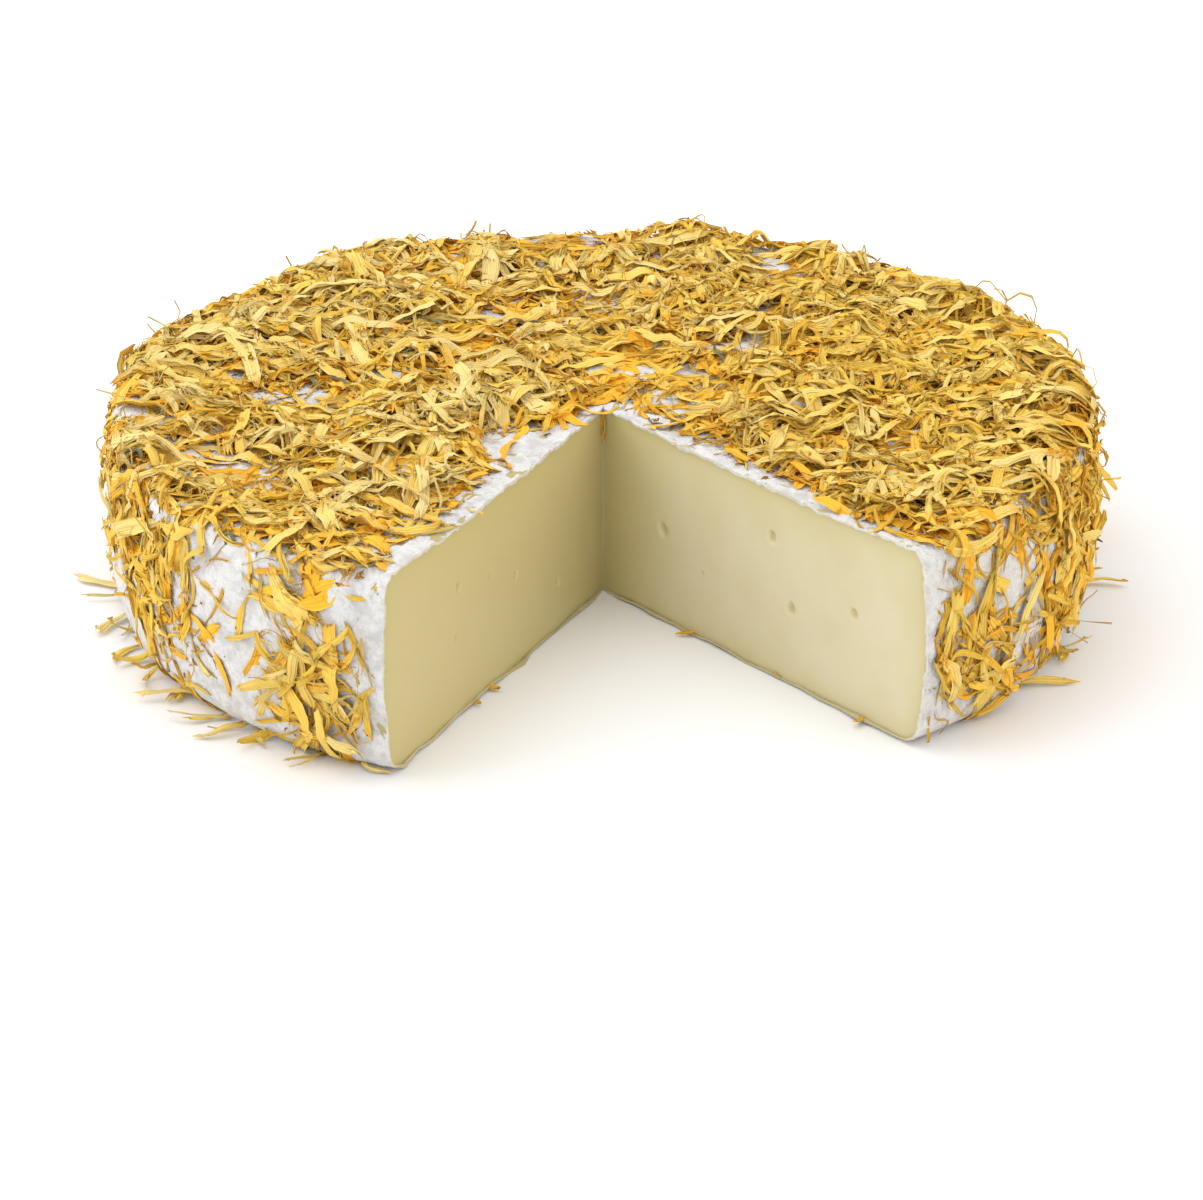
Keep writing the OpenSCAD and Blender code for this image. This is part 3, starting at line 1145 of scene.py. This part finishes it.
def lay(rng, kind, wanted, coat, side_share):
    """Lays a batch of petals of one kind. Each petal rests where it meets what lies under any part
    of it, and bridges the hollows between: at every station its height is the highest that any
    other station asks for, less a parabola of the distance between them. Petals that would stand
    too high, cross the bare strip at a cut or hang over it too far aren't laid."""
    rules = settings("coat")
    points = start_points(rng, 3 * wanted, side_share)[:2 * wanted]
    number = len(points)
    lengths = kind.long_low + (kind.long_high - kind.long_low) * rng.beta(2.0, 2.4, number)
    strays = rng.random(number) < OVERHANG_SHARE
    heading = headings(rng, points, lengths, strays)
    limp = rng.uniform(0.08, 1.0, number)
    frames = march(points, heading, bends(rng, kind, lengths), lengths, limp)
    places, _, sideways, outward = frames
    apart = skin_distance(places)
    shape = petal_shape(rng, kind, number)
    across, up = shape[:2]
    normal_up = outward[:, :1, 2]
    lifted = rules.lift_share * np.where(normal_up < STEEP, MORE_ON_SIDE, 1)
    bow = own_bow(rng, kind, lengths, lifted)
    spread = places[:, :, None] + sideways[:, :, None] * across[..., None]
    need = (coat.under(spread) - up).max(axis=2) - bow - apart
    s = np.linspace(0, 1, kind.along)[None, :] * lengths[:, None]
    stiff = rng.uniform(80, 400, (number, 1, 1))
    rest = (need[:, None, :] - stiff * (s[:, :, None] - s[:, None, :]) ** 2).max(axis=2)
    height = (rest + bow)[..., None] + up + CLEAR_OF_OTHERS
    cap = np.where(outward[:, :, 2:] > STEEP, rules.top_cap, rules.side_cap)
    fits = (height + apart[..., None] < cap).all(axis=(1, 2))
    round_shoulder = np.abs(outward[:, 0, 2] - outward[:, -1, 2]) > ROUND_SHOULDER
    fits &= ~round_shoulder | (rng.random(number) < rules.draped)
    strip = rules.bare_strip * (0.6 + 0.9 * noise(points, 0.011, 71)) \
        + np.abs(rng.normal(0, RAGGED_STRIP, number))
    strip = strip * np.where(normal_up[:, 0] < STEEP, STRIP_ON_SIDE, 1.0)
    strip = np.where(strays, -OVERHANG, strip)
    fits &= past_cut(spread).max(axis=(1, 2)) < -strip
    chosen = np.flatnonzero(fits)[:wanted]
    pressed = (rest + apart + rules.bow_kept * bow)[..., None] + rules.curl_kept * up
    coat.cover_petals(spread[chosen], pressed[chosen] + kind.thick)
    return petal_arrays(frames, shape, height, chosen)


def headings(rng, points, lengths, strays):
    """Which way each petal points: any way on the top, and mostly up and down on the side. One
    that would cross a cut points the other way instead, unless it is a stray."""
    number = len(points)
    normal = skin_normal(points)
    round_about = np.cross(normal, np.array([0.3, 0.9, 0.1]))
    drift = 3.5 * noise(points, 0.016, 81) + rng.normal(0, 1.1, number)
    level = turned(normalised(round_about), normal, drift)
    down = normalised(np.cross(normal, np.cross(np.array([0, 0, -1.0]), normal)) + 1e-9)
    hanging = turned(down, normal, rng.normal(0, 0.7, number))
    hanging = hanging * np.where(rng.random(number) < 0.3, -1, 1)[:, None]
    steep = (np.abs(normal[:, 2]) < STEEP) & (rng.random(number) < 0.42)
    heading = np.where(steep[:, None], hanging, level)
    crosses = past_cut(points + heading * lengths[:, None]) > -CUT_MARGIN
    return np.where((crosses & ~strays)[:, None], -heading, heading)


def pressed_in_corner(rng, kind, number):
    """Shreds that the knife pressed into the corner where the two cuts meet: they hang down it
    from the top, a little in front of the paste."""
    f = settings("form")
    into = np.array([math.cos(f.cut_turn), math.sin(f.cut_turn), 0.0])
    aside = np.array([-into[1], into[0], 0.0])
    lengths, drop, out = (rng.uniform(*ends, number) for ends in CORNER_RANGES)
    base = np.array([*cut_point(), f.height - f.dish])
    t = np.linspace(0, 1, kind.along)[None, :, None]
    start = base + into * out[:, None] + aside * rng.normal(0, 0.0004, number)[:, None]
    start = start - np.array([0, 0, 1.0]) * drop[:, None]
    slant = np.stack([rng.normal(0, 0.09, number), rng.normal(0, 0.09, number),
                      -np.ones(number)], axis=1)
    heading = normalised(slant)
    places = start[:, None] + t * (heading * lengths[:, None])[:, None]
    places = places + aside * (0.0003 * wander(rng, number, t[..., 0]))[..., None]
    along = np.broadcast_to(heading[:, None], places.shape)
    outward = np.broadcast_to(into, places.shape)
    frames = places, along, normalised(np.cross(outward, along)), outward
    shape = petal_shape(rng, kind, number)
    return petal_arrays(frames, shape, shape[1], np.arange(number))


def tucked_under(rng, kind, points, heading, part=1.0):
    """Petals caught under the wheel's edge, which lie on what it stands on. They have the mean
    length of their kind or a little less, times the part of a petal that is left."""
    number = len(points)
    lengths = part * rng.uniform(0.6, 1.0, number) * (kind.long_low + kind.long_high) / 2
    frames = march(points, heading, bends(rng, kind, lengths), lengths)
    shape = petal_shape(rng, kind, number)
    bow = 0.7 * own_bow(rng, kind, lengths, 0.1)
    height = bow[..., None] + shape[1] - shape[1].min(axis=(1, 2), keepdims=True)
    return petal_arrays(frames, shape, height, np.arange(number))


def under_the_foot(rng, kind, number):
    """Petals tucked under the rounded foot all round, pointing outwards."""
    f = settings("form")
    right, left = cut_turns()
    turn = rng.uniform(right + 0.06, left - 0.06, number)
    depth = rng.uniform(0.2, 1.0, number) * f.foot
    points = place(turn, depth, np.full(number, UNDER_EDGE))
    return tucked_under(rng, kind, points, level_way(turn + rng.normal(0, 0.8, number)))


def under_the_cuts(rng, kind, number):
    """Scraps caught at the foot of the two cut faces, pointing into the missing wedge."""
    turn = rng.permutation(np.resize(cut_turns(), number))
    inward = np.where(turn == cut_turns()[0], -math.pi / 2, math.pi / 2)
    f = settings("form")
    depth = rng.uniform(0.05, 0.75, number) * f.diameter / 2
    points = place(turn, depth, np.full(number, UNDER_EDGE))
    points = points - 0.25 * kind.long_low * level_way(turn + inward)
    heading = level_way(turn + inward + rng.normal(0, 0.7, number))
    return tucked_under(rng, kind, points, heading, SCRAP_LEFT)


def petal_mesh(name, kind, vertices, front, colours):
    """Joins petals into one mesh. Each is a closed pillow: a front grid and a back grid, one
    thickness apart, that share their outline. The shading breaks at the outline and along the
    pleats."""
    number, rows, columns = vertices.shape[:3]
    back = (vertices - front * kind.thick)[:, 1:-1, 1:-1]
    back[..., 2] = np.maximum(back[..., 2], CLEAR_OF_FLOOR / 2)
    front_index = np.arange(rows * columns).reshape(rows, columns)
    back_index = front_index.copy()
    back_index[1:-1, 1:-1] = rows * columns + np.arange((rows - 2) * (columns - 2)).reshape(
        rows - 2, columns - 2)
    one = np.concatenate([grid_quads(front_index), grid_quads(back_index)[:, ::-1]])
    each = rows * columns + (rows - 2) * (columns - 2)
    quads = (one[None] + each * np.arange(number)[:, None, None]).reshape(-1, 4)
    points = np.concatenate([vertices.reshape(number, -1, 3), back.reshape(number, -1, 3)], axis=1)
    paint = np.concatenate([colours.reshape(number, -1, 4),
                            colours[:, 1:-1, 1:-1].reshape(number, -1, 4)], axis=1)
    mesh = make_mesh(name, points.reshape(-1, 3), quads)
    vertex_colour(mesh, "petal", paint.reshape(-1, 4))
    outline = np.ones((rows, columns), bool)
    outline[1:-1, 1:-1] = False
    shared = np.concatenate([outline.ravel(), np.zeros(each - rows * columns, bool)])
    ends = np.sort(edge_ends(mesh) % each, axis=1)
    crease = ((ends[:, 1] - ends[:, 0] == columns) & (ends[:, 1] < rows * columns)) \
        | ((ends[:, 1] - ends[:, 0] == columns - 2) & (ends[:, 0] >= rows * columns))
    sharpen(mesh, shared[ends].all(axis=1) | crease)
    bake_map(mesh, number, rows, columns)
    return mesh


def bake_map(mesh, number, rows, columns):
    """The bake's map: a square of cells, one for each petal, each with a small gap round it. The
    petal's front lies in the left half of its cell, and its back in the right."""
    cells = math.ceil(math.sqrt(number))
    u, v = np.meshgrid(np.linspace(0, 1, columns), np.linspace(0, 1, rows))
    flat = np.stack([u, v], axis=-1).reshape(-1, 2)
    index = grid_quads(np.arange(rows * columns).reshape(rows, columns))
    left = flat[index].reshape(-1, 2) * [0.42, 0.88] + [0.04, 0.06]
    right = flat[index[:, ::-1]].reshape(-1, 2) * [0.42, 0.88] + [0.54, 0.06]
    one = np.concatenate([left, right])
    corner = np.stack(np.divmod(np.arange(number), cells), axis=1)
    places = ((one[None] + corner[:, None]) / cells).reshape(-1, 2)
    layer = mesh.uv_layers.new(name="OFBake")
    layer.uv.foreach_set("vector", places.astype(np.float32).ravel())


def petal_group():
    """The finish that every kind of petal shares: pale veins along it and pale edges, deeper
    between them, and burnt at its base and tip. Its tone differs from petal to petal, from one
    side of the wheel to the other and by slow noise, and is deeper low in the coat."""
    tree, w, given, taken = group_tree(
        "petal_finish",
        {"Pale": "Color", "Deep": "Color", "Burnt": "Color", "Veins": "Float"},
        {"Color": "Color", "Roughness": "Float", "Height": "Float"})
    marks = w.node("Attribute", {"attribute_name": "petal"})
    tone, along, across = w.node("SeparateColor", Color=marks.outputs["Color"]).outputs
    other = marks.outputs["Alpha"]
    where = w.node("TexCoord").outputs["Object"]
    mottle = w.noise(where, 330.0, 3.0, 0.6)
    wobble = w.maths("MULTIPLY", mottle, 3.0)
    phase = w.maths("MULTIPLY_ADD", across, given["Veins"], wobble)
    vein = w.maths("MULTIPLY_ADD", w.maths("SINE", phase), 0.5, 0.5)
    edge = w.maths("ABSOLUTE", w.maths("SUBTRACT", across, 0.5))
    edge = w.step(edge, 0.34, 0.5)
    light = w.maths("MULTIPLY_ADD", vein, 0.60, w.maths("MULTIPLY", edge, 0.25))
    # The tone holds a random part and painted shade: petals low in the coat are deeper.
    light = w.maths("ADD", light, w.step(tone, 0.1, 0.9, -0.40, 0.65))
    light = w.maths("ADD", light, w.step(mottle, 0.3, 0.7, -0.15, 0.15))
    side = w.node("SeparateXYZ", Vector=where).outputs[0]
    # Painted shade: petals on the right side of the wheel, away from the light, are deeper.
    light = w.maths("ADD", light, w.step(side, -0.06, 0.09, 0.10, -0.32))
    light = w.maths("ADD", light, w.step(w.noise(where, 28.0), 0.3, 0.7, -0.2, 0.2), clamp=True)
    body = w.mix(light, given["Deep"], given["Pale"])
    at_base = w.maths("MULTIPLY", w.step(along, 0.26, 0.0), w.step(other, 0.25, 0.8))
    at_tip = w.maths("MULTIPLY", w.step(along, 0.86, 1.0), w.step(other, 0.8, 0.3, 0.0, 0.8))
    burnt = w.maths("MAXIMUM", at_base, at_tip)
    # Painted shade together with the random tone: low-toned petals, most of them low in the coat,
    # take the burnt colour.
    deep_tone_and_shade = w.step(tone, 0.40, 0.05, 0.0, 0.45)
    burnt = w.maths("MAXIMUM", w.maths("MULTIPLY", burnt, 0.7), deep_tone_and_shade)
    body = w.mix(burnt, body, given["Burnt"])
    w.tree.links.new(body, taken["Color"])
    w.tree.links.new(w.step(vein, 0.0, 1.0, 0.62, 0.50), taken["Roughness"])
    w.tree.links.new(w.maths("MULTIPLY_ADD", mottle, 0.4, vein), taken["Height"])
    return tree


def petal_material(name, kind, group):
    """One kind's material: the shared finish with its own colours, on a thin, papery shader."""
    material, w, shader = new_material("dried_" + name, Specular_IOR_Level=0.15)
    finish = w.tree.nodes.new("ShaderNodeGroup")
    finish.node_tree = group
    for key, value in (("Pale", kind.pale), ("Deep", kind.deep), ("Burnt", kind.burnt)):
        w.feed(finish, key, value)
    w.feed(finish, "Veins", 6.283 * (kind.across + 1))
    w.feed(shader, "Base Color", finish.outputs["Color"])
    w.feed(shader, "Roughness", finish.outputs["Roughness"])
    w.bump(shader, 0.8, 0.00022, finish.outputs["Height"])
    return material


class CHEESE_OT_add_petals(bpy.types.Operator):
    """Lay the dried petals of every kind over the rind, round after round"""
    bl_idname = "cheese.add_petals"
    bl_label = "Add Petals"

    def execute(self, context):
        """Lays the flat petals first, then those at the foot, in the corner and under the cuts,
        and then all other kinds in batches, with more and more of the pale kinds among them."""
        rules = settings("coat")
        rng = np.random.default_rng(rules.seed)
        coat = Coat()
        mat = settings("petal_mat")
        laid = {name: [] for name in ALL_KINDS}
        for _ in range(MAT_BATCHES):
            wanted = math.ceil(mat.number / MAT_BATCHES)
            laid["petal_mat"].append(lay(rng, mat, wanted, coat, rules.mat_share))
        for name in ("petals_lemon", "petals_gold", "petals_rolled"):
            laid[name].append(under_the_foot(rng, settings(name), rules.at_foot))
        laid["petal_shreds"].append(
            pressed_in_corner(rng, settings("petal_shreds"), rules.in_corner))
        laid["petals_gold"].append(under_the_cuts(rng, settings("petals_gold"), rules.at_cuts))
        for batch in range(rules.batches):
            late = 0.5 + batch / (rules.batches - 1)
            for name in LAYERED_KINDS:
                kind = settings(name)
                now = late if name in PALE_KINDS else 2 - late
                wanted = math.ceil(now * kind.number / rules.batches)
                laid[name].append(lay(rng, kind, wanted, coat, rules.side_share))
        group = petal_group()
        for name, batches in laid.items():
            kind = settings(name)
            arrays = [np.concatenate(part)[:kind.number] for part in zip(*batches)]
            mesh = petal_mesh(name, kind, *arrays)
            add_piece(name, mesh, petal_material(name, kind, group))
        return {"FINISHED"}


# ---------------------------------------------------------------- stage

FLOOR_HALF, FLOOR_POINTS = 4.0, 9
WORLD_STRENGTH = 1.16
WHITE, WARM = (1.0, 1.0, 1.0), (1.0, 0.76, 0.40)
# Each soft light: its name, its place, its size, its power in watts and its tint.
LAMPS = (
    ("overhead_softbox", (-0.5, 0.25, 1.3), 1.3, 5.0, WHITE),
    ("left_softbox", (-1.5, -0.2, 0.6), 1.3, 7.0, WHITE),
    ("right_fill", (1.3, -0.5, 0.5), 1.2, 3.0, WARM),
)
LAMP_AIM = (0.0, 0.0, 0.03)


def soft_light(name, place_at, size, power, tint):
    """A large soft light at a place, turned to the wheel."""
    data = bpy.data.lights.new(name, "AREA")
    data.shape = "DISK"
    data.size, data.energy, data.color = size, power, tint
    lamp = add_object(name, data)
    lamp.location = place_at
    look_at(lamp, LAMP_AIM)


def look_at(thing, aim):
    """Turns a camera or a light so that its -Z axis points at a place, with Y upwards."""
    away = Vector(aim) - thing.location
    thing.rotation_euler = away.to_track_quat("-Z", "Y").to_euler()


def add_floor():
    """A plain pale floor at the wheel's base."""
    low = CAD_BOX[0]
    steps = np.linspace(-FLOOR_HALF, FLOOR_HALF, FLOOR_POINTS)
    x, y = np.meshgrid(steps, steps)
    points = np.stack([x, y, np.full_like(x, low.z)], axis=-1).reshape(-1, 3)
    index = np.arange(x.size).reshape(x.shape)
    mesh = make_mesh("floor", points, grid_quads(index.T))
    material, w, shader = new_material("studio_floor", Roughness=0.7, Specular_IOR_Level=0.1)
    where = w.node("TexCoord").outputs["Object"]
    cloud = w.noise(where, 3.0)
    floor = settings("stage").floor
    darker = tuple(0.985 * c for c in floor)
    w.feed(shader, "Base Color", w.mix(cloud, floor, darker))
    mesh.materials.append(material)
    piece = add_object("floor", mesh)


class CHEESE_OT_add_stage(bpy.types.Operator):
    """Set the floor, the studio lights and the camera"""
    bl_idname = "cheese.add_stage"
    bl_label = "Add Stage"

    def execute(self, context):
        """Adds the floor, the lights, the sky and the camera."""
        stage = settings("stage")
        add_floor()
        for lamp in LAMPS:
            soft_light(*lamp)
        world = bpy.data.worlds.new("studio")
        world.use_nodes = True
        background = world.node_tree.nodes["Background"]
        background.inputs["Color"].default_value = (*WHITE, 1.0)
        background.inputs["Strength"].default_value = WORLD_STRENGTH
        context.scene.world = world
        context.scene.view_settings.view_transform = "Standard"
        data = bpy.data.cameras.new("camera")
        data.lens = stage.lens
        data.clip_start, data.clip_end = 0.01, 20.0
        camera = add_object("camera", data)
        back, up = math.cos(stage.camera_tilt), math.sin(stage.camera_tilt)
        camera.location = (0.0, -stage.aim_back - stage.camera_away * back,
                           stage.camera_away * up)
        look_at(camera, (0.0, -stage.aim_back, 0.0))
        context.scene.camera = camera
        return {"FINISHED"}


# ---------------------------------------------------------------- the panel and the run

class CHEESE_PT_panel(bpy.types.Panel):
    """The steps that finish the wheel"""
    bl_label = "Cheese Wheel"
    bl_idname = "CHEESE_PT_panel"
    bl_space_type = "VIEW_3D"
    bl_region_type = "UI"
    bl_category = "Cheese"

    def draw(self, context):
        """Shows one button for each step."""
        for step in STEPS:
            self.layout.operator(step.bl_idname)


GROUPS = {"form": CheeseForm, "rind": CheeseRind, "paste": CheesePaste, "coat": CheeseCoat,
          "stage": CheeseStage, **ALL_KINDS}
STEPS = (CHEESE_OT_add_paste, CHEESE_OT_add_rind, CHEESE_OT_add_petals, CHEESE_OT_add_stage)


def register():
    """Registers the settings, the steps and the panel, and puts the settings on the scene."""
    for group in (*GROUPS.values(), *STEPS, CHEESE_PT_panel):
        bpy.utils.register_class(group)
    for name, group in GROUPS.items():
        setattr(bpy.types.Scene, "cheese_" + name, bpy.props.PointerProperty(type=group))


def unregister():
    """Takes back what register did."""
    for name in GROUPS:
        delattr(bpy.types.Scene, "cheese_" + name)
    for group in reversed((*GROUPS.values(), *STEPS, CHEESE_PT_panel)):
        bpy.utils.unregister_class(group)


def main():
    """Runs every step, then writes the boxes of the frame and of the finished wheel."""
    register()
    bpy.ops.cheese.add_paste()
    bpy.ops.cheese.add_rind()
    bpy.ops.cheese.add_petals()
    bpy.ops.cheese.add_stage()


if __name__ == "__main__":
    main()
